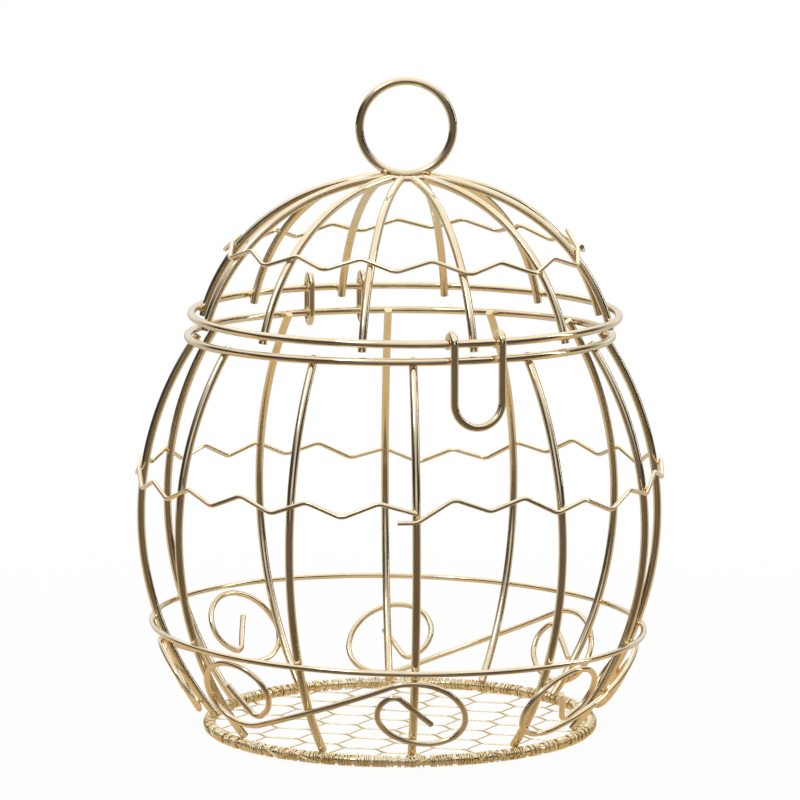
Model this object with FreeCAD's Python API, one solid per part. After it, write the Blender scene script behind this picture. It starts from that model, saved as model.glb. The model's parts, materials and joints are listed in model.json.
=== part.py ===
import FreeCAD, Part
import math
import os

from FreeCAD import Vector

# Wire birdcage box with a hinged dome lid. Millimetres, +Z up. The origin is on the surface the cage
# stands on, on the cage's axis. The front, with the U-shaped loop, faces -Y, and the hinge is at +Y.

# Driving dimensions: wire radii
RIB_WIRE = 0.92
RING_WIRE = 0.88
BASE_WIRE = 0.95
BAND_WIRE = 0.66
ZIGZAG_WIRE = 0.50
SCROLL_WIRE = 0.65
LINK_WIRE = 0.68
LATCH_WIRE = 0.87
CROWN_WIRE = 0.66
HANGER_WIRE = 0.96
NET_WIRE = 0.22
WELD_GAP = 0.02

# Driving dimensions: cage
RIB_COUNT = 12
RIB_STEP = 360 / RIB_COUNT
RIB_DRIFT = (3.5, 4.5, -0.5, -2.0, -1.0, 0.0, 1.2, 3.3, -1.5, 0.5, 2.5, 0.0)
BELLY_RADIUS = 59.0
BELLY_HEIGHT = 49.1
BELLY_CURVE = 72.0
BASE_HEIGHT = 1.25
HEM_RADIUS = 1.30
HEM_INNER = 0.98
HEM_WRAP = 120
BAND_HEIGHT = 24.1
BAND_RISE = 1.5
BAND_RISE_ANGLE = 219
BAND_SLACK = 0.04
RIM_HEIGHT = 90.5
RIB_TOP_ABOVE_RIM = 0.3

# Driving dimensions: zigzag wires. Each is a hoop bent by hand, so it waves up and down on its way
# round: a wave is its number of crests, its rise and the angle of a crest. Angles are in degrees.
# The tail is how far the first end runs past the seam, and how far it climbs there. A swing is half the
# zigzag's height, and a negative one puts a crest at the seam.
CAGE_ZIGZAG = {
    "height": 58.3, "waves": ((1, 1.8, -20), (2, 1.4, 73), (3, 1.0, -20), (6, 0.7, 0)),
    "corners": 46, "swing": 1.5, "seam": -15,
    "tail": (4, 0.2), "start_rise": -1.2, "end_turn": 0, "end_rise": 0.5,
}
LID_ZIGZAG = {
    "height": 14.2, "waves": ((2, 0.6, -45),),
    "corners": 31, "swing": -1.6, "seam": 71.4,
    "tail": (2, 0.0), "start_rise": -0.6, "end_turn": 0, "end_rise": 7.0,
}
ZIGZAG_BEND = 3.0
ZIGZAG_UNEVEN = 0.22
ZIGZAG_BEAT = 2.4

# Driving dimensions: scrolls, as arc lengths on the cage's surface. Each was bent and set by hand, so
# they differ in height, length and lean. Angles are in degrees.
SCROLLS = (
    {"centre": -38.2, "height": 13.9, "half_span": 21.6, "lean": -2.7, "flipped": False},
    {"centre": 50.5, "height": 12.0, "half_span": 21.6, "lean": -3.0, "flipped": False},
    {"centre": 137.6, "height": 11.4, "half_span": 22.6, "lean": -2.0, "flipped": True},
    {"centre": 230.5, "height": 14.2, "half_span": 21.6, "lean": -5.0, "flipped": False},
)
SCROLL_LOOP = 10.4
SCROLL_FLATTEN = 0.84
SCROLL_STROKE_STOPS = (2.8, 8.4, 13.6)
SCROLL_CORNERS = 11
SCROLL_CORNER_STEP = 30
SCROLL_SHRINK = 1.9
SCROLL_BEND = (-4.6, 7.0)
SCROLL_TAIL = (2.6, -3.0)
SCROLL_SAG = 0.14

# Driving dimensions: floor netting
NET_PITCH = 9.8
NET_ANGLE = 70
NET_TURN = 5
NET_LOW = 0.55

# Driving dimensions: lid
LID_SHIFT = 1.2
LID_TILT = 1.2
LID_HEIGHT = 95.3
CROWN_HEIGHT = 31.4
CROWN_CURVE = 57.0
CROWN_EDGE = 21.3
SHOULDER_CURVE = 43.6
LID_TIP_DROP = 2.1
CROWN_RING = 5.0
HANGER_RADIUS = 10.55
HANGER_TURN = -18

# Driving dimensions: hinge links and front loop
LINK_OFFSET = 6.5
LINK_BELOW_RIM = 3.9
LINK_ABOVE_LID = 4.6
LINK_TAPER = 3.4
LATCH_HALF_WIDTH = 5.5
LATCH_DROP = 18.3
LATCH_EYE_GAP = 0.2
LATCH_WRAP = 215
LINK_BEND = 1.3
ARC_SHARE = 0.45

UP = Vector(0, 0, 1)
ORIGIN = Vector(0, 0, 0)
X_AXIS = Vector(1, 0, 0)


def polar(radius, angle, z):
    """Point at an angle measured from the front (-Y) towards +X."""
    turn = math.radians(angle)
    return Vector(radius * math.sin(turn), -radius * math.cos(turn), z)


def sweep(edges, radius):
    """Round wire of the given radius along tangent edges."""
    path = Part.Wire(edges)
    first = edges[0]
    start = first.valueAt(first.FirstParameter)
    heading = first.tangentAt(first.FirstParameter)
    section = Part.Wire([Part.makeCircle(radius, start, heading)])
    solid = path.makePipeShell([section], True, False)
    solid = Part.Solid(solid.Shells[0])
    if solid.Volume < 0:
        solid.reverse()
    expected = math.pi * radius ** 2 * path.Length
    if not solid.isValid() or abs(solid.Volume / expected - 1) > 0.01:
        raise ValueError("bad sweep: volume %.2f, expected %.2f" % (solid.Volume, expected))
    return solid


def bent_path(points, bend=None, closed=False):
    """Straight runs joined by tangent arcs, of one radius or else as large as their runs allow."""
    count = len(points)
    corners = range(count) if closed else range(1, count - 1)
    cuts = {}
    for i in corners:
        before = points[i - 1] - points[i]
        after = points[(i + 1) % count] - points[i]
        shorter = min(before.Length, after.Length)
        before.normalize()
        after.normalize()
        half_turn = (math.pi - before.getAngle(after)) / 2
        radius = bend or ARC_SHARE * shorter / math.tan(half_turn)
        reach = radius * math.tan(half_turn)
        bisector = (before + after).normalize()
        middle = points[i] + bisector * (radius / math.cos(half_turn) - radius)
        cuts[i] = (points[i] + before * reach, middle, points[i] + after * reach)
    edges = []
    last = cuts[count - 1][2] if closed else points[0]
    for i in corners:
        enter, middle, leave = cuts[i]
        edges.append(Part.LineSegment(last, enter).toShape())
        edges.append(Part.Arc(enter, middle, leave).toShape())
        last = leave
    if not closed:
        edges.append(Part.LineSegment(last, points[-1]).toShape())
    return edges


def ring(radius, wire, z):
    return Part.makeTorus(radius, wire, Vector(0, 0, z), UP)


class Arc:
    """Circular arc in a radial half-plane, read as (radius, z) at an angle above horizontal."""

    def __init__(self, centre_radius, centre_z, curve):
        self.centre_radius = centre_radius
        self.centre_z = centre_z
        self.curve = curve

    def at(self, elevation, offset=0.0):
        reach = self.curve + offset
        return (self.centre_radius + reach * math.cos(elevation),
                self.centre_z + reach * math.sin(elevation))

    def elevation(self, z, offset=0.0):
        return math.asin((z - self.centre_z) / (self.curve + offset))

    def radius(self, z, offset=0.0):
        return self.at(self.elevation(z, offset), offset)[0]


def radial_arc(arc, low, high, angle):
    """Edge along an arc, from its low elevation to its high one, in the plane at an angle."""
    stops = [arc.at(e) for e in (low, (low + high) / 2, high)]
    return Part.Arc(*[polar(r, angle, z) for r, z in stops]).toShape()


def chord_sag(radius, step):
    """How far a chord over an angle step dips inside its circle."""
    return radius * (1 - math.cos(math.radians(step / 2)))


# Profile of the cage ribs
BELLY = Arc(BELLY_RADIUS - BELLY_CURVE, BELLY_HEIGHT, BELLY_CURVE)
RIM_RADIUS = BELLY.radius(RIM_HEIGHT, RIB_WIRE + RING_WIRE + WELD_GAP)
BASE_RADIUS = BELLY.radius(BASE_HEIGHT, RIB_WIRE + HEM_RADIUS + WELD_GAP)
BAND_HIGH = BELLY.radius(BAND_HEIGHT + BAND_RISE, RIB_WIRE + BAND_WIRE + WELD_GAP)
BAND_LOW = BELLY.radius(BAND_HEIGHT - BAND_RISE, RIB_WIRE + BAND_WIRE + WELD_GAP)
BAND_RADIUS = (BAND_HIGH + BAND_LOW) / 2 + BAND_SLACK
BAND_SHIFT = (BAND_HIGH - BAND_LOW) / 2

# Profile of the lid ribs, in the lid's own frame: z = 0 at the lid ring
CROWN_ANGLE = math.acos(CROWN_EDGE / CROWN_CURVE)
CROWN = Arc(0, CROWN_HEIGHT - CROWN_CURVE, CROWN_CURVE)
CENTRE_DROP = CROWN_CURVE - SHOULDER_CURVE
SHOULDER = Arc(CENTRE_DROP * math.cos(CROWN_ANGLE), CROWN.centre_z + CENTRE_DROP * math.sin(CROWN_ANGLE),
               SHOULDER_CURVE)
LID_RADIUS = SHOULDER.radius(0, RIB_WIRE + RING_WIRE + WELD_GAP)


def place_lid(shape):
    """Move a shape from the lid's own frame to the closed lid, which sits a little to one side."""
    shape.rotate(ORIGIN, X_AXIS, LID_TILT)
    shape.translate(Vector(LID_SHIFT, 0, LID_HEIGHT))
    return shape


def lid_point(x, y):
    """World place of a point in the plane of the lid ring."""
    tilt = math.radians(LID_TILT)
    return Vector(x + LID_SHIFT, y * math.cos(tilt), LID_HEIGHT + y * math.sin(tilt))


def cage_rib(angle):
    foot = BELLY.elevation(BASE_HEIGHT, RIB_WIRE + HEM_RADIUS + WELD_GAP)
    top = BELLY.elevation(RIM_HEIGHT + RIB_TOP_ABOVE_RIM)
    return sweep([radial_arc(BELLY, foot, top, angle)], RIB_WIRE)


def lid_rib(angle):
    tip = SHOULDER.elevation(-LID_TIP_DROP)
    crown = math.acos((CROWN_RING + CROWN_WIRE + WELD_GAP) / CROWN_CURVE)
    shoulder_edge = radial_arc(SHOULDER, tip, CROWN_ANGLE, angle)
    crown_edge = radial_arc(CROWN, CROWN_ANGLE, crown, angle)
    return place_lid(sweep([shoulder_edge, crown_edge], RIB_WIRE))


def lower_band():
    """Hoop round the outside of the ribs, set a little askew: higher and further out on one side."""
    centre = polar(BAND_SHIFT, BAND_RISE_ANGLE, BAND_HEIGHT)
    axis = polar(-BAND_RISE, BAND_RISE_ANGLE, BAND_RADIUS)
    return Part.makeTorus(BAND_RADIUS, BAND_WIRE, centre, axis)


def hoop_height(bends, angle):
    """Height of a hand-bent hoop at an angle."""
    height = bends["height"]
    for crests, rise, crest in bends["waves"]:
        height += rise * math.cos(crests * math.radians(angle - crest))
    return height


def zigzag_corners(bends):
    """Angle and rise above the hoop of each corner, after the short tail."""
    step = 360 / bends["corners"]
    corners = []
    for i in range(bends["corners"] + 1):
        swing = bends["swing"] * (1 + ZIGZAG_UNEVEN * math.sin(ZIGZAG_BEAT * i))
        corners.append((bends["seam"] + i * step, swing if i % 2 else -swing))
    first_angle, first_rise = corners[0]
    last_angle, last_rise = corners[-1]
    start = first_rise + bends["start_rise"]
    corners[0] = (first_angle, start)
    corners[-1] = (last_angle + bends["end_turn"], last_rise + bends["end_rise"])
    tail_turn, tail_rise = bends["tail"]
    return [(first_angle - tail_turn, start + tail_rise)] + corners


def zigzag(arc, bends):
    """Open zigzag wire lying on the outside of the ribs, its two ends one above the other."""
    sag = chord_sag(arc.radius(bends["height"]), 360 / bends["corners"])
    offset = RIB_WIRE + ZIGZAG_WIRE + WELD_GAP + sag
    points = []
    for angle, rise in zigzag_corners(bends):
        elevation = arc.elevation(hoop_height(bends, angle)) + rise / arc.curve
        radius, z = arc.at(elevation, offset)
        points.append(polar(radius, angle, z))
    return sweep(bent_path(points, ZIGZAG_BEND), ZIGZAG_WIRE)


def scroll_half(half_span):
    """Half of an S-scroll on the flattened surface, from near its middle to the end of its tail."""
    slant = math.asin(SCROLL_LOOP / half_span)
    points = [(u, u * math.tan(slant)) for u in SCROLL_STROKE_STOPS]
    corner_reach = SCROLL_LOOP / math.cos(math.radians(SCROLL_CORNER_STEP / 2))
    first_corner = 90 + math.degrees(slant) - SCROLL_CORNER_STEP / 2
    for i in range(SCROLL_CORNERS):
        angle = math.radians(first_corner - i * SCROLL_CORNER_STEP)
        wound = max(0, (i - SCROLL_CORNERS / 2) / (SCROLL_CORNERS / 2 - 1))
        reach = corner_reach - SCROLL_SHRINK * wound ** 1.5
        points.append((half_span + reach * math.cos(angle), reach * math.sin(angle)))
    bend_u, bend_v = SCROLL_BEND
    tail_u, tail_v = SCROLL_TAIL
    points.append((half_span + bend_u, bend_v))
    points.append((half_span + (bend_u + tail_u) / 2, (bend_v + tail_v) / 2))
    points.append((half_span + tail_u, tail_v))
    return points


def scroll(shape):
    """S-shaped wire with a loop at each end, lying on the outside of the ribs."""
    half = scroll_half(shape["half_span"])
    outline = [(-u, -v) for u, v in reversed(half)] + half
    offset = RIB_WIRE + SCROLL_WIRE + SCROLL_SAG
    middle = BELLY.elevation(shape["height"], offset)
    flatten = -SCROLL_FLATTEN if shape["flipped"] else SCROLL_FLATTEN
    lean = math.radians(shape["lean"])
    points = []
    for u, v in outline:
        along = u * math.cos(lean) - flatten * v * math.sin(lean)
        climb = u * math.sin(lean) + flatten * v * math.cos(lean)
        radius, z = BELLY.at(middle + climb / (BELLY.curve + offset), offset)
        points.append(polar(radius, shape["centre"] + math.degrees(along / radius), z))
    return sweep(bent_path(points), SCROLL_WIRE)


def floor_netting():
    """Two crossed layers of fine wire, and the edge folded round the base ring, flat underneath."""
    reach = BASE_RADIUS - HEM_RADIUS - WELD_GAP
    solids = []
    for layer, turn in enumerate((NET_TURN - NET_ANGLE / 2, NET_TURN + NET_ANGLE / 2)):
        along = polar(1, turn, 0)
        across = polar(1, turn + 90, 0)
        height = NET_LOW + layer * (2 * NET_WIRE + WELD_GAP)
        count = int(reach / NET_PITCH)
        for i in range(-count, count + 1):
            half = math.sqrt(reach ** 2 - (i * NET_PITCH) ** 2)
            if half < NET_PITCH:
                continue
            start = across * (i * NET_PITCH) - along * half + UP * height
            solids.append(Part.makeCylinder(NET_WIRE, 2 * half, start, along))
    solids.append(netting_hem())
    return Part.makeCompound(solids)


def netting_hem():
    """C-section hem round the base ring, open towards the middle, with a flat to stand on."""
    def spot(reach, degrees):
        angle = math.radians(degrees)
        return Vector(BASE_RADIUS + reach * math.cos(angle), 0, BASE_HEIGHT + reach * math.sin(angle))

    flat = math.degrees(math.asin(BASE_HEIGHT / HEM_RADIUS))
    outer, inner, wrap = HEM_RADIUS, HEM_INNER, HEM_WRAP
    edges = [
        Part.Arc(spot(outer, -wrap), spot(outer, (flat - wrap) / 2 - 90), spot(outer, flat - 180)).toShape(),
        Part.LineSegment(spot(outer, flat - 180), spot(outer, -flat)).toShape(),
        Part.Arc(spot(outer, -flat), spot(outer, (wrap - flat) / 2), spot(outer, wrap)).toShape(),
        Part.LineSegment(spot(outer, wrap), spot(inner, wrap)).toShape(),
        Part.Arc(spot(inner, wrap), spot(inner, 0), spot(inner, -wrap)).toShape(),
        Part.LineSegment(spot(inner, -wrap), spot(outer, -wrap)).toShape(),
    ]
    return Part.Face(Part.Wire(edges)).revolve(ORIGIN, UP, 360)


def hinge_line():
    """Y and Z of the line that the lid turns about, through the lid ring at the two links."""
    spots = []
    for x in (-LINK_OFFSET, LINK_OFFSET):
        inside = x - LID_SHIFT
        spots.append(lid_point(inside, math.sqrt(LID_RADIUS ** 2 - inside ** 2)))
    return (spots[0].y + spots[1].y) / 2, (spots[0].z + spots[1].z) / 2


def hinge_link(x):
    """Tall narrow loop, welded to the rim ring, with the lid ring running in its upper half."""
    hinge_y, hinge_z = hinge_line()
    rim_y = math.sqrt(RIM_RADIUS ** 2 - LINK_OFFSET ** 2)
    half_gap = hinge_y - rim_y + RING_WIRE + LINK_WIRE + WELD_GAP
    low = RIM_HEIGHT - LINK_BELOW_RIM
    high = hinge_z + LINK_ABOVE_LID
    outline = [(-half_gap, high - LINK_TAPER), (0, high), (half_gap, high - LINK_TAPER),
               (half_gap, low + LINK_TAPER), (0, low), (-half_gap, low + LINK_TAPER)]
    points = [Vector(x, hinge_y + y, z) for y, z in outline]
    return sweep(bent_path(points, LINK_BEND, closed=True), LINK_WIRE)


def latch_centres():
    """Where the front loop's two eyes go round the lid ring, left then right."""
    y = -math.sqrt(LID_RADIUS ** 2 - LATCH_HALF_WIDTH ** 2)
    return [lid_point(x, y) for x in (-LATCH_HALF_WIDTH, LATCH_HALF_WIDTH)]


def front_latch():
    """U-shaped loop hanging outside the rings, its ends curled round the lid ring as open eyes."""
    left, right = latch_centres()
    eye = RING_WIRE + LATCH_EYE_GAP + LATCH_WIRE

    def on_eye(centre, degrees):
        angle = math.radians(degrees)
        return centre + Vector(0, -eye * math.cos(angle), eye * math.sin(angle))

    bottom = left.z - LATCH_DROP
    bend_z = bottom + LATCH_HALF_WIDTH
    bend_left = Vector(left.x, left.y - eye, bend_z)
    bend_right = Vector(right.x, right.y - eye, bend_z)
    lowest = Vector(LID_SHIFT, left.y - eye, bottom)
    edges = [
        Part.Arc(on_eye(left, LATCH_WRAP), on_eye(left, LATCH_WRAP / 2), on_eye(left, 0)).toShape(),
        Part.LineSegment(on_eye(left, 0), bend_left).toShape(),
        Part.Arc(bend_left, lowest, bend_right).toShape(),
        Part.LineSegment(bend_right, on_eye(right, 0)).toShape(),
        Part.Arc(on_eye(right, 0), on_eye(right, LATCH_WRAP / 2), on_eye(right, LATCH_WRAP)).toShape(),
    ]
    return sweep(edges, LATCH_WIRE)


def crown_ring_height():
    return CROWN.at(math.acos(CROWN_RING / CROWN_CURVE))[1]


def hanging_ring():
    """Upright ring standing on the crown ring, which it touches at two places."""
    reach = HANGER_RADIUS + HANGER_WIRE + CROWN_WIRE + WELD_GAP
    centre = Vector(0, 0, crown_ring_height() + math.sqrt(reach ** 2 - CROWN_RING ** 2))
    return place_lid(Part.makeTorus(HANGER_RADIUS, HANGER_WIRE, centre, polar(1, HANGER_TURN, 0)))


def build():
    nodes = {
        "base_ring": ring(BASE_RADIUS, BASE_WIRE, BASE_HEIGHT),
        "floor_netting": floor_netting(),
        "lower_band": lower_band(),
        "rim_ring": ring(RIM_RADIUS, RING_WIRE, RIM_HEIGHT),
        "cage_zigzag": zigzag(BELLY, CAGE_ZIGZAG),
        "hinge_link_left": hinge_link(-LINK_OFFSET),
        "hinge_link_right": hinge_link(LINK_OFFSET),
    }
    for i in range(RIB_COUNT):
        nodes["cage_rib_%02d" % (i + 1)] = cage_rib((i + 0.5) * RIB_STEP + RIB_DRIFT[i])
    for i, shape in enumerate(SCROLLS):
        nodes["scroll_%d" % (i + 1)] = scroll(shape)
    for i in range(RIB_COUNT):
        nodes["lid_rib_%02d" % (i + 1)] = lid_rib(i * RIB_STEP)
    nodes["lid_ring"] = place_lid(ring(LID_RADIUS, RING_WIRE, 0))
    nodes["lid_zigzag"] = place_lid(zigzag(SHOULDER, LID_ZIGZAG))
    nodes["crown_ring"] = place_lid(ring(CROWN_RING, CROWN_WIRE, crown_ring_height()))
    nodes["hanging_ring"] = hanging_ring()
    nodes["front_latch"] = front_latch()
    return nodes


os.makedirs("parts", exist_ok=True)
for name, shape in build().items():
    shape.exportStep("parts/%s.step" % name)
print("lid hinge line y, z: %.3f, %.3f" % hinge_line())
print("front loop line y, z: %.3f, %.3f" % (latch_centres()[0].y, latch_centres()[0].z))
print("radii: base %.2f band %.2f rim %.2f lid %.2f" % (BASE_RADIUS, BAND_RADIUS, RIM_RADIUS, LID_RADIUS))
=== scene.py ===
import json
import math
import random

import bpy
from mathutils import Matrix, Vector, noise
from mathutils.bvhtree import BVHTree


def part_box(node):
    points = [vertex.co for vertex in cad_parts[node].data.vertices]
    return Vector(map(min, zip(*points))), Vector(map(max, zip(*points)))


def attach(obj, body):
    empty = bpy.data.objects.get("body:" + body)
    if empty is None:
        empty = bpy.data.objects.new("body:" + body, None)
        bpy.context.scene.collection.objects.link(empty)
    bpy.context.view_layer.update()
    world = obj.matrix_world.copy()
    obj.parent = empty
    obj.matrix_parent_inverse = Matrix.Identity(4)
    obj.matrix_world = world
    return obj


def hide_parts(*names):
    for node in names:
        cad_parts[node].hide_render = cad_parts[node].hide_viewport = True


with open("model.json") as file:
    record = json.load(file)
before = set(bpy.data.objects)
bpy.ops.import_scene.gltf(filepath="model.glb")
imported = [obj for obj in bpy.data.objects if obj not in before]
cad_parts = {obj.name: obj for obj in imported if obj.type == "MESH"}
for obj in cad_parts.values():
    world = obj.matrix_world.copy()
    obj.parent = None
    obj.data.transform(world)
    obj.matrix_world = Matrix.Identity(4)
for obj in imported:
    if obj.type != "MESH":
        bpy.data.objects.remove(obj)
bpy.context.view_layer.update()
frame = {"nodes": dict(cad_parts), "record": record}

# Looks for the wire birdcage: plated wire, weld beads and hexagonal floor netting. Everything is in
# metres and lies in the CAD frame: +Z up, front loop at -Y, hinge at +Y.

MM = 0.001
scene = bpy.context.scene
random.seed(7)


# ---------------------------------------------------------------- camera, light and floor

CAMERA_DISTANCE = 1.043
CAMERA_TURN = -18.5
CAMERA_ELEVATION = 8.1
AIM_HEIGHT = 0.0723
FRAME_HEIGHT = 0.182
FRAME_CENTRE_HEIGHT = 0.0755

# Studio as the wires reflect it. Edges and feet are directions: a share towards the camera, or a height.
CEILING_EDGE = (0.30, 0.75)
CEILING_LIGHT = 1.0
CARD_EDGE = (0.80, 0.97)
CARD_LIGHT = 0.70
BACKDROP_EDGE = (-0.45, -0.90)
BACKDROP_LIGHT = 0.80
DIM_ROOM = 0.045
FLOOR_HALF = 6.0
FLOOR_FADE = (0.08, 0.35)
FLOOR_GLOW = 0.94
CARD_FOOT = (-0.05, 0.25)
BACKDROP_FOOT = (-0.10, 0.05)
ROOM_COLOUR = (1.0, 0.975, 0.94)
FLOOR_COLOUR = (0.93, 0.93, 0.925)
# Painted reflection: colours that the floor glows with only for glossy rays. They are warm gold near the
# cage, dark towards the camera and grey behind.
REFLECTION_GLOW_EDGE = (0.020, 0.075)
REFLECTION_GLOW_NEAR = (0.68, 0.50, 0.28)
REFLECTION_GLOW_FRONT = (0.135, 0.105, 0.078)
REFLECTION_GLOW_BACK = (0.62, 0.56, 0.47)
LAMP_COLOUR = (1, 0.985, 0.96)
LAMP_AIM = (0, 0, 0.07)


def make_camera():
    turn = math.radians(CAMERA_TURN)
    elevation = math.radians(CAMERA_ELEVATION)
    back = Vector((math.sin(turn) * math.cos(elevation), -math.cos(turn) * math.cos(elevation),
                   math.sin(elevation)))
    data = bpy.data.cameras.new("camera")
    data.sensor_width = 36
    data.lens = data.sensor_width * CAMERA_DISTANCE / FRAME_HEIGHT
    data.clip_start = 0.01
    data.clip_end = 20
    data.shift_y = (FRAME_CENTRE_HEIGHT - AIM_HEIGHT) / FRAME_HEIGHT
    camera = bpy.data.objects.new("camera", data)
    camera.location = Vector((0, 0, AIM_HEIGHT)) + back * CAMERA_DISTANCE
    camera.rotation_mode = "QUATERNION"
    camera.rotation_quaternion = (-back).to_track_quat("-Z", "Y")
    scene.collection.objects.link(camera)
    scene.camera = camera


def area_light(name, place, size, power):
    data = bpy.data.lights.new(name, "AREA")
    data.shape = "RECTANGLE"
    data.size, data.size_y = size
    data.energy = power
    data.color = LAMP_COLOUR
    light = bpy.data.objects.new(name, data)
    light.location = place
    light.rotation_mode = "QUATERNION"
    light.rotation_quaternion = (Vector(LAMP_AIM) - Vector(place)).to_track_quat("-Z", "Y")
    scene.collection.objects.link(light)


def smooth_node(tree, value, low, high, to_low, to_high):
    """A value from to_low to to_high, as the input goes smoothly from low to high."""
    node = tree.nodes.new("ShaderNodeMapRange")
    node.interpolation_type = "SMOOTHSTEP"
    node.inputs["From Min"].default_value = low
    node.inputs["From Max"].default_value = high
    node.inputs["To Min"].default_value = to_low
    node.inputs["To Max"].default_value = to_high
    tree.links.new(value, node.inputs["Value"])
    return node.outputs[0]


def math_node(tree, operation, first, second):
    node = tree.nodes.new("ShaderNodeMath")
    node.operation = operation
    for socket, value in zip(node.inputs, (first, second)):
        if isinstance(value, (int, float)):
            socket.default_value = value
        else:
            tree.links.new(value, socket)
    return node.outputs[0]


def colour_mix(tree, share, first, second):
    """Colour between two, each a socket or a plain colour."""
    node = tree.nodes.new("ShaderNodeMixRGB")
    tree.links.new(share, node.inputs[0])
    for socket, colour in zip((node.inputs[1], node.inputs[2]), (first, second)):
        if isinstance(colour, tuple):
            socket.default_value = (*colour, 1)
        else:
            tree.links.new(colour, socket)
    return node.outputs[0]


def towards_camera(tree, way):
    """How far a direction or a place lies towards the camera, along the floor."""
    turn = math.radians(CAMERA_TURN)
    node = tree.nodes.new("ShaderNodeVectorMath")
    node.operation = "DOT_PRODUCT"
    node.inputs[1].default_value = (math.sin(turn), -math.cos(turn), 0)
    tree.links.new(way, node.inputs[0])
    return node.outputs["Value"]


def make_world():
    """White backdrop. In reflections: bright ceiling, soft front card, dark sides, white backdrop."""
    world = bpy.data.worlds.new("studio")
    scene.world = world
    world.use_nodes = True
    tree = world.node_tree
    tree.nodes.clear()
    new = tree.nodes.new
    link = tree.links.new
    way = new("ShaderNodeTexCoord").outputs["Generated"]
    split = new("ShaderNodeSeparateXYZ")
    link(way, split.inputs[0])
    up = split.outputs["Z"]
    front = towards_camera(tree, way)
    ceiling = smooth_node(tree, up, *CEILING_EDGE, 0, CEILING_LIGHT)
    card = math_node(tree, "MULTIPLY", smooth_node(tree, front, *CARD_EDGE, 0, CARD_LIGHT),
                     smooth_node(tree, up, *CARD_FOOT, 0, 1))
    backdrop = math_node(tree, "MULTIPLY", smooth_node(tree, front, *BACKDROP_EDGE, 0, BACKDROP_LIGHT),
                         smooth_node(tree, up, *BACKDROP_FOOT, 0, 1))
    total = math_node(tree, "ADD", math_node(tree, "ADD", ceiling, card),
                      math_node(tree, "ADD", backdrop, DIM_ROOM))
    lit = new("ShaderNodeBackground")
    lit.inputs["Color"].default_value = (*ROOM_COLOUR, 1)
    link(total, lit.inputs["Strength"])
    seen = new("ShaderNodeBackground")
    seen.inputs["Color"].default_value = (1, 1, 1, 1)
    ray = new("ShaderNodeLightPath")
    mix = new("ShaderNodeMixShader")
    out = new("ShaderNodeOutputWorld")
    link(ray.outputs["Is Camera Ray"], mix.inputs[0])
    link(lit.outputs[0], mix.inputs[1])
    link(seen.outputs[0], mix.inputs[2])
    link(mix.outputs[0], out.inputs[0])


def make_floor():
    """White floor that fades into the backdrop. Seen only by glossy rays, it glows as a painted reflection
    on the wires: warm gold near the cage, dark towards the camera, pale grey behind.
    """
    mesh = bpy.data.meshes.new("floor")
    corners = [(-1, -1), (1, -1), (1, 1), (-1, 1)]
    mesh.from_pydata([(x * FLOOR_HALF, y * FLOOR_HALF, 0) for x, y in corners], [], [(0, 1, 2, 3)])
    floor = bpy.data.objects.new("floor", mesh)
    scene.collection.objects.link(floor)
    material, shader, tree = new_material("pale_floor")
    shader.inputs["Base Color"].default_value = (*FLOOR_COLOUR, 1)
    shader.inputs["Roughness"].default_value = 0.8
    shader.inputs["Specular IOR Level"].default_value = 0.1
    new = tree.nodes.new
    link = tree.links.new
    place = new("ShaderNodeTexCoord").outputs["Object"]
    reach = new("ShaderNodeVectorMath")
    reach.operation = "LENGTH"
    link(place, reach.inputs[0])
    white = new("ShaderNodeEmission")
    white.inputs["Color"].default_value = (1, 1, 1, 1)
    fade = new("ShaderNodeMixShader")
    link(smooth_node(tree, reach.outputs["Value"], *FLOOR_FADE, FLOOR_GLOW, 1), fade.inputs[0])
    link(shader.outputs[0], fade.inputs[1])
    link(white.outputs[0], fade.inputs[2])
    front = towards_camera(tree, place)
    low, high = REFLECTION_GLOW_EDGE
    behind = colour_mix(tree, smooth_node(tree, front, -low, -high, 0, 1), REFLECTION_GLOW_NEAR, REFLECTION_GLOW_BACK)
    before = smooth_node(tree, front, low, high, 0, 1)
    # Painted reflection: this emission is seen only by glossy rays, so it glows only in the wires'
    # reflections.
    painted_reflection_glow = new("ShaderNodeEmission")
    link(colour_mix(tree, before, behind, REFLECTION_GLOW_FRONT), painted_reflection_glow.inputs["Color"])
    ray = new("ShaderNodeLightPath")
    pick = new("ShaderNodeMixShader")
    link(ray.outputs["Is Glossy Ray"], pick.inputs[0])
    link(fade.outputs[0], pick.inputs[1])
    link(painted_reflection_glow.outputs[0], pick.inputs[2])
    link(pick.outputs[0], tree.nodes["Material Output"].inputs["Surface"])
    mesh.materials.append(material)


# ---------------------------------------------------------------- materials

GRAIN_SCALE = 5200
GRAIN_DEPTH = 0.01 * MM
DENT_SCALE = 330
DENT_DEPTH = 0.12 * MM


def new_material(name):
    material = bpy.data.materials.new(name)
    material.use_nodes = True
    tree = material.node_tree
    shader = tree.nodes["Principled BSDF"]
    return material, shader, tree


def noise_node(tree, scale, detail, coords, roughness=0.5):
    node = tree.nodes.new("ShaderNodeTexNoise")
    node.inputs["Scale"].default_value = scale
    node.inputs["Detail"].default_value = detail
    node.inputs["Roughness"].default_value = roughness
    tree.links.new(coords, node.inputs["Vector"])
    return node.outputs["Fac"]


def ramp_node(tree, value, stops):
    node = tree.nodes.new("ShaderNodeValToRGB")
    elements = node.color_ramp.elements
    while len(elements) < len(stops):
        elements.new(0.5)
    for element, (position, colour) in zip(elements, stops):
        element.position = position
        element.color = (*colour, 1)
    tree.links.new(value, node.inputs[0])
    return node.outputs[0]


def range_node(tree, value, low, high):
    node = tree.nodes.new("ShaderNodeMapRange")
    node.inputs["From Min"].default_value = 0.3
    node.inputs["From Max"].default_value = 0.7
    node.inputs["To Min"].default_value = low
    node.inputs["To Max"].default_value = high
    tree.links.new(value, node.inputs["Value"])
    return node.outputs[0]


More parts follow.
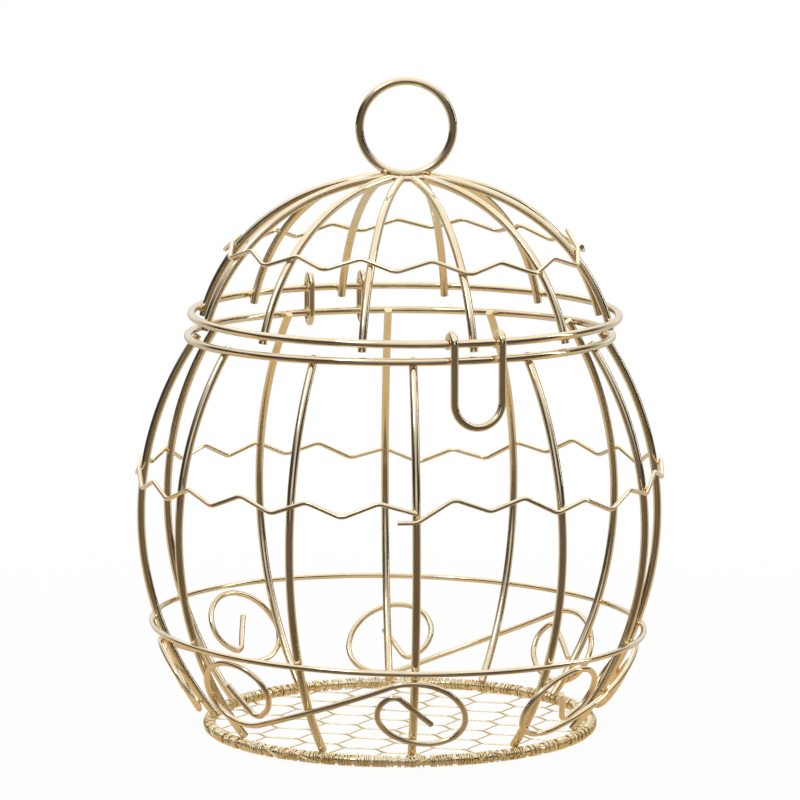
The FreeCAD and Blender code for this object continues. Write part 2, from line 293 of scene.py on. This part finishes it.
def metal(name, tones, roughness, grain, dents, patch_scale):
    """Plated wire: cloudy plating colour, fine polishing grain and long shallow dents."""
    material, shader, tree = new_material(name)
    shader.inputs["Metallic"].default_value = 1
    coords = tree.nodes.new("ShaderNodeTexCoord").outputs["Object"]
    clouds = noise_node(tree, patch_scale, 5, coords, 0.6)
    tree.links.new(ramp_node(tree, clouds, [(0.28, tones[0]), (0.52, tones[1]), (0.74, tones[2])]),
                   shader.inputs["Base Color"])
    wear = noise_node(tree, patch_scale * 6, 6, coords, 0.65)
    tree.links.new(range_node(tree, wear, *roughness), shader.inputs["Roughness"])
    normal = None
    for scale, strength, depth in ((GRAIN_SCALE, grain, GRAIN_DEPTH), (DENT_SCALE, dents, DENT_DEPTH)):
        node = tree.nodes.new("ShaderNodeBump")
        node.inputs["Strength"].default_value = strength
        node.inputs["Distance"].default_value = depth
        tree.links.new(noise_node(tree, scale, 3, coords), node.inputs["Height"])
        if normal:
            tree.links.new(normal, node.inputs["Normal"])
        normal = node.outputs[0]
    tree.links.new(normal, shader.inputs["Normal"])
    return material


def make_materials():
    made = {}
    made["plated_wire"] = metal("plated_wire", [(0.84, 0.69, 0.44), (0.91, 0.80, 0.59), (0.95, 0.86, 0.69)],
                                (0.05, 0.13), 0.30, 0.30, 110)
    made["plated_trim"] = metal("plated_trim", [(0.85, 0.71, 0.47), (0.92, 0.81, 0.61), (0.95, 0.88, 0.72)],
                                (0.07, 0.16), 0.35, 0.40, 150)
    made["netting"] = metal("netting", [(0.86, 0.70, 0.38), (0.95, 0.86, 0.62), (0.98, 0.94, 0.80)],
                            (0.15, 0.34), 0.5, 0.5, 260)
    made["weld"] = metal("weld", [(0.42, 0.27, 0.10), (0.80, 0.60, 0.26), (0.93, 0.80, 0.46)],
                         (0.18, 0.42), 0.8, 0.8, 700)
    return made


def dress_cad(materials):
    """Every CAD node that stays visible gets the plated metal of its slot."""
    slots = {part["node"]: part["material_slot"] for part in frame["record"]["subparts"]}
    for name, node in frame["nodes"].items():
        node.data.materials.clear()
        node.data.materials.append(materials[slots[name]])


# ---------------------------------------------------------------- weld beads

BEAD_RINGS = 9
BEAD_SIDES = 14
BEAD_SPREAD = 2.5 * MM
BEAD_REACH = 0.12 * MM


def surface_tree(name):
    mesh = frame["nodes"][name].data
    return BVHTree.FromPolygons([v.co for v in mesh.vertices], [p.vertices for p in mesh.polygons])


def touching_spots(name_a, name_b, reach):
    """Middles of the places where two CAD nodes come within reach of each other."""
    tree = surface_tree(name_b)
    groups = []
    for vertex in frame["nodes"][name_a].data.vertices:
        found, _, _, distance = tree.find_nearest(vertex.co, reach)
        if found is None:
            continue
        spot = (vertex.co + found) / 2
        for group in groups:
            if (group[0] - spot).length < BEAD_SPREAD:
                group.append(spot)
                break
        else:
            groups.append([spot])
    return [sum(group, Vector()) / len(group) for group in groups]


def bead(verts, faces, spot, size):
    """A lumpy blob of weld metal added to a mesh's lists."""
    rings, sides = BEAD_RINGS, BEAD_SIDES
    base = len(verts)
    turn = random.uniform(0, math.pi)
    stretch = Vector([random.uniform(0.85, 1.2) for _ in range(3)])
    for i in range(rings + 1):
        polar = math.pi * i / rings
        for j in range(sides):
            around = 2 * math.pi * j / sides + turn
            way = Vector((math.sin(polar) * math.cos(around), math.sin(polar) * math.sin(around),
                          math.cos(polar)))
            lump = 1 + 0.28 * noise.noise(way * 1.7 + spot * 900) + 0.10 * noise.noise(way * 5 + spot * 500)
            verts.append(spot + Vector([w * s for w, s in zip(way, stretch)]) * size * lump)
    for i in range(rings):
        for j in range(sides):
            a = base + i * sides + j
            b = base + i * sides + (j + 1) % sides
            faces.append((a, a + sides, b + sides, b))


def add_piece(name, verts, faces, material, body):
    mesh = bpy.data.meshes.new(name)
    mesh.from_pydata([tuple(v) for v in verts], [], faces)
    mesh.validate()
    mesh.shade_smooth()
    mesh.materials.append(material)
    piece = bpy.data.objects.new(name, mesh)
    scene.collection.objects.link(piece)
    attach(piece, body)
    return piece


def weld_piece(name, pairs, size, material, body, reach=BEAD_REACH):
    verts, faces = [], []
    for a, b in pairs:
        for spot in touching_spots(a, b, reach):
            bead(verts, faces, spot, size * random.uniform(0.85, 1.2))
    if verts:
        add_piece(name, verts, faces, material, body)


def make_welds(material):
    cage_ribs = ["cage_rib_%02d" % i for i in range(1, 13)]
    lid_ribs = ["lid_rib_%02d" % i for i in range(1, 13)]
    weld_piece("welds_rim", [(r, "rim_ring") for r in cage_ribs], 0.72 * MM, material, "cage")
    weld_piece("welds_band", [(r, "lower_band") for r in cage_ribs], 0.55 * MM, material, "cage")
    weld_piece("welds_foot", [(r, "floor_netting") for r in cage_ribs], 0.95 * MM, material, "cage")
    weld_piece("welds_scrolls", [("scroll_%d" % s, r) for s in range(1, 5) for r in cage_ribs], 0.5 * MM,
               material, "cage", reach=0.30 * MM)
    weld_piece("welds_cage_zigzag", [("cage_zigzag", r) for r in cage_ribs], 0.42 * MM, material, "cage",
               reach=0.2 * MM)
    weld_piece("welds_links", [(link, "rim_ring") for link in ("hinge_link_left", "hinge_link_right")],
               0.7 * MM, material, "cage")
    weld_piece("welds_lid_ring", [(r, "lid_ring") for r in lid_ribs], 0.72 * MM, material, "lid")
    weld_piece("welds_crown", [(r, "crown_ring") for r in lid_ribs], 0.7 * MM, material, "lid")
    weld_piece("welds_lid_zigzag", [("lid_zigzag", r) for r in lid_ribs], 0.42 * MM, material, "lid",
               reach=0.25 * MM)
    weld_piece("welds_hanging_ring", [("hanging_ring", "crown_ring")], 1.15 * MM, material, "lid")


# ---------------------------------------------------------------- floor netting

NET_CELL = 12 * MM
NET_TWIST = 4.4 * MM
NET_RISE = 4.2 * MM
NET_WIRE = 0.22 * MM
NET_ANGLE = 5
NET_SIDES = 8
NET_STEP = 0.35 * MM
NET_TWIST_STEPS = 16
NET_SOFTENING = 3
NET_WOBBLE = 0.5 * MM
HEM_TURN = 245
HEM_WRAPS = 230
HEM_WIRE = 0.18 * MM
HEM_STEPS = 20
HEM_TURNS = (1.0, 2.8)
HEM_ADVANCE = (0.36 * MM, 0.80 * MM)
HEM_LOOSE = 0.10 * MM


def net_shape():
    """Middle radius and height of the base ring, and the radius that the netting wraps it at."""
    low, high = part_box("base_ring")
    wire = (high.z - low.z) / 2
    return (high.x - low.x) / 2 - wire, low.z + wire, wire + 1.1 * NET_WIRE


def wrap_netting(point, ring, height, wrap, hem):
    """A point of the flat net, laid under the base ring and folded round it beyond the ring's line."""
    reach = math.hypot(point.x, point.y)
    past = reach - ring
    lift = point.z
    if past <= 0:
        return Vector((point.x, point.y, height - wrap + lift))
    turn = min(past, hem) / wrap
    out = Vector((point.x / reach, point.y / reach, 0))
    radius = ring + math.sin(turn) * (wrap - lift)
    return out * radius + Vector((0, 0, height - math.cos(turn) * (wrap - lift)))


def tube(verts, faces, path, radius, sides):
    """Adds a thin wire along a path of points."""
    base = len(verts)
    for i, point in enumerate(path):
        ahead = path[min(i + 1, len(path) - 1)] - path[max(i - 1, 0)]
        side = ahead.cross(Vector((0.13, 0.07, 1))).normalized()
        over = side.cross(ahead).normalized()
        for j in range(sides):
            angle = 2 * math.pi * j / sides
            verts.append(point + (side * math.cos(angle) + over * math.sin(angle)) * radius)
    for i in range(len(path) - 1):
        for j in range(sides):
            a = base + i * sides + j
            b = base + i * sides + (j + 1) % sides
            faces.append((a, b, b + sides, a + sides))
    faces.append(tuple(reversed(range(base, base + sides))))
    last = base + (len(path) - 1) * sides
    faces.append(tuple(range(last, last + sides)))


def net_strand(column, rows):
    """One wire of hexagonal netting: it twists twice round one neighbour, then round the other."""
    pitch = NET_TWIST + NET_RISE
    side = 1 if column % 2 else -1
    path = []
    for row in range(-rows, rows + 1):
        lean = side if row % 2 else -side
        x = column * NET_CELL / 2 + lean * NET_CELL / 4
        for k in range(NET_TWIST_STEPS + 1):
            share = k / NET_TWIST_STEPS
            twist = 4 * math.pi * share + (math.pi if lean > 0 else 0)
            path.append(Vector((x + NET_WIRE * math.cos(twist), row * pitch + NET_TWIST * share,
                                NET_WIRE * math.sin(twist))))
    return path


def soften(path):
    """Path with its corners rounded a little."""
    for _ in range(NET_SOFTENING):
        path = [path[0]] + [(a + b * 2 + c) / 4 for a, b, c in zip(path, path[1:], path[2:])] + [path[-1]]
    return path


def lay_strand(path, turn):
    """A strand turned to the netting's direction, in short steps, with a hand-laid wobble."""
    laid = []
    for a, b in zip(path, path[1:]):
        pieces = max(1, int((b - a).length / NET_STEP))
        for k in range(pieces):
            x, y, z = a.lerp(b, k / pieces)
            point = Vector((x * math.cos(turn) - y * math.sin(turn),
                            x * math.sin(turn) + y * math.cos(turn), z))
            sway = Vector((noise.noise(point * 90), noise.noise(point * 90 + Vector((9, 4, 2))), 0))
            laid.append(point + sway * NET_WOBBLE)
    return soften(laid)


def hem_wraps(verts, faces, ring, height, wrap):
    """Cut ends of the netting wound round the base ring in untidy turns."""
    for i in range(HEM_WRAPS):
        around = 2 * math.pi * (i + random.uniform(-0.3, 0.3)) / HEM_WRAPS
        start = random.uniform(0, 2 * math.pi)
        turns = random.uniform(*HEM_TURNS)
        advance = random.uniform(*HEM_ADVANCE) * random.choice((-1, 1))
        loose = random.uniform(0, HEM_LOOSE)
        steps = int(turns * HEM_STEPS)
        path = []
        for k in range(steps + 1):
            wound = 2 * math.pi * turns * k / steps
            angle = around + advance * wound / (2 * math.pi) / ring
            swell = wrap + loose * (0.5 + 0.5 * math.sin(1.7 * wound + i))
            reach = ring + swell * math.cos(start + wound)
            path.append(Vector((reach * math.sin(angle), -reach * math.cos(angle),
                                height + swell * math.sin(start + wound))))
        tube(verts, faces, path, HEM_WIRE, NET_SIDES)


def make_netting(material):
    ring, height, wrap = net_shape()
    hem = math.radians(HEM_TURN) * wrap
    limit = ring + hem
    columns = int(2 * limit / NET_CELL) + 2
    rows = int(limit / (NET_TWIST + NET_RISE)) + 2
    verts, faces = [], []
    for column in range(-columns, columns + 1):
        run = []
        for point in lay_strand(net_strand(column, rows), math.radians(NET_ANGLE)) + [None]:
            if point and math.hypot(point.x, point.y) < limit:
                run.append(wrap_netting(point, ring, height, wrap, hem))
                continue
            if len(run) > 2:
                tube(verts, faces, run, NET_WIRE, NET_SIDES)
            run = []
    hem_wraps(verts, faces, ring, height, wrap)
    for vertex in verts:
        vertex.z = max(vertex.z, 0.01 * MM)
    net = add_piece("hex_netting", verts, faces, material, "cage")
    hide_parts("floor_netting")


# ---------------------------------------------------------------- build

make_camera()
materials = make_materials()
make_world()
make_floor()
area_light("key_softbox", (-0.75, -0.65, 0.95), (0.30, 0.40), 1.6)
area_light("right_strip", (0.95, -0.25, 0.45), (0.12, 0.6), 0.8)
dress_cad(materials)
make_welds(materials["weld"])
make_netting(materials["netting"])
scene.view_settings.view_transform = "Standard"
scene.view_settings.look = "None"
